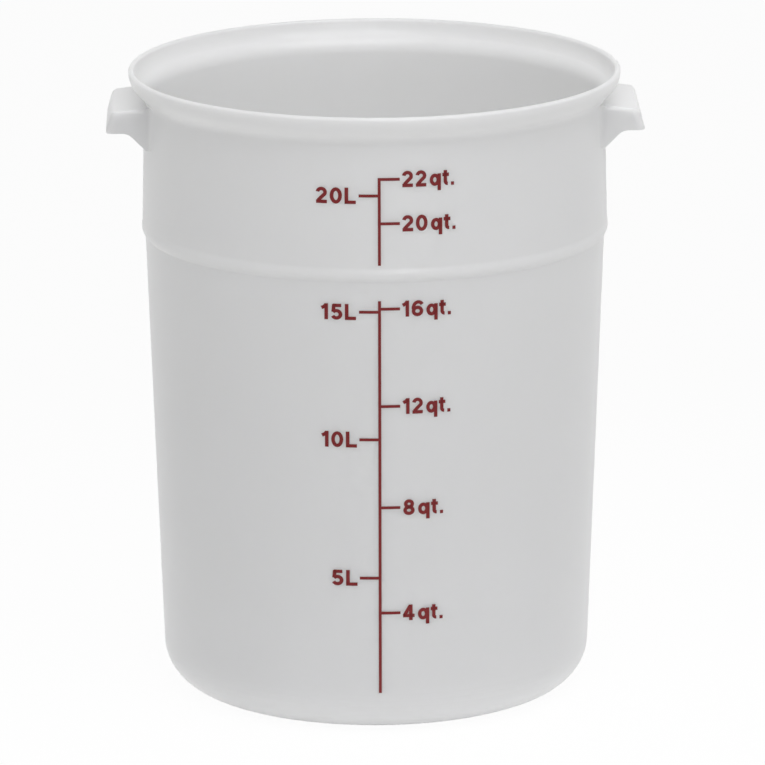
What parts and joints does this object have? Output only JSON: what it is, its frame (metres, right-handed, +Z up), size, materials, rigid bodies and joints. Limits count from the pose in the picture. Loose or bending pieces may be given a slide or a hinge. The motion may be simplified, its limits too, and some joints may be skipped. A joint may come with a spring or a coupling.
{
  "type": "dough proofing tub",
  "caption": "Round open plastic tub with a tapered body, wider collar, flared lip, hooded side handles and a printed volume scale.",
  "frame": {"origin": "middle of the base, on the surface that the tub stands on", "axes": "+Z up along the tub's axis; the printed scale faces -Y; the handles lie along -X and +X"},
  "size_m": [0.3318, 0.3044, 0.392],
  "materials": {
    "tub_plastic": "satin, faintly translucent natural white polyethylene",
    "scale_ink": "screen-printed dark red ink"
  },
  "bodies": {
    "root": {"tub": "tub_plastic", "collar_scale_print": "scale_ink", "body_scale_print": "scale_ink"}
  },
  "joints": []
}
